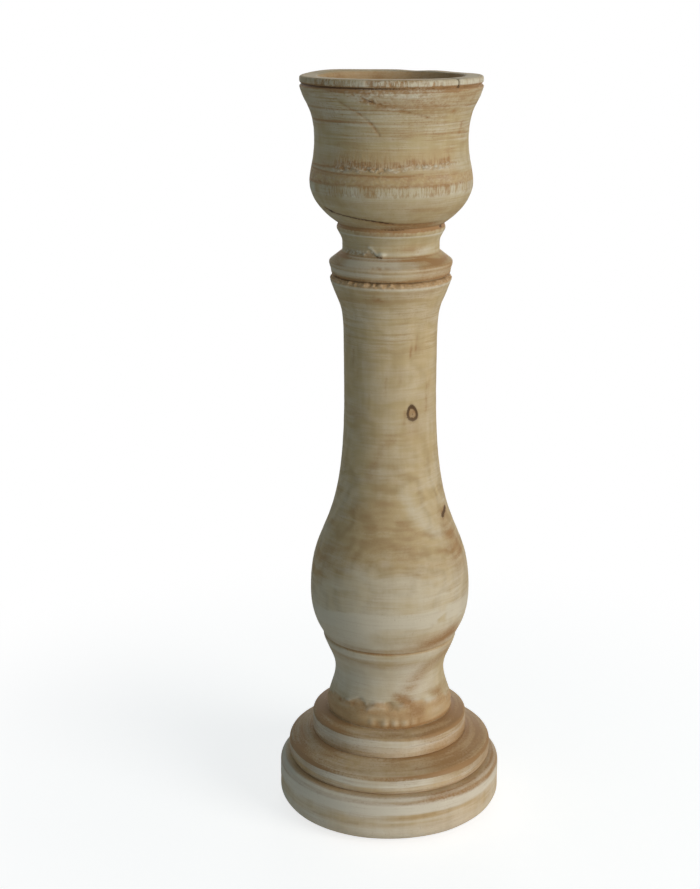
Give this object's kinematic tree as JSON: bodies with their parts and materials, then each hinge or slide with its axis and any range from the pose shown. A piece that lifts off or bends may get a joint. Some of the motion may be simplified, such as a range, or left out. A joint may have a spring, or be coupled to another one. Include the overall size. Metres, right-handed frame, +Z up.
{
  "type": "pricket candle stand",
  "caption": "Turned wooden candle stand with a stacked round base, baluster stem and deep cup, with a steel spike and a lift-out drip pan for the candle.",
  "frame": {"origin": "middle of the felt's underside, where the stand rests", "axes": "+Z up along the turning axis, +X and +Y level"},
  "size_m": [0.1224, 0.1224, 0.4],
  "materials": {
    "whitewashed_wood": "pale turned wood, whitewash worn off, brown glaze in the grooves, matte",
    "dowel_wood": "bare beech",
    "zinc_steel": "zinc plated",
    "dark_steel": "dark bare steel",
    "pan_steel": "dark tinned sheet, satin",
    "felt": "pressed felt"
  },
  "bodies": {
    "stand": {"felt_pad": "felt", "base_plinth": "whitewashed_wood", "base_middle_tier": "whitewashed_wood", "base_top_tier": "whitewashed_wood", "stem": "whitewashed_wood", "candle_cup": "whitewashed_wood", "upper_dowel": "dowel_wood", "base_screw": "zinc_steel", "base_washer": "zinc_steel", "pricket_spike": "dark_steel"},
    "pan": {"drip_pan": "pan_steel"}
  },
  "joints": [
    {"name": "pan_lift", "type": "slide", "parent": "stand", "child": "pan", "axis": [0, 0, 1], "range_m": [0, 0.06]}
  ]
}
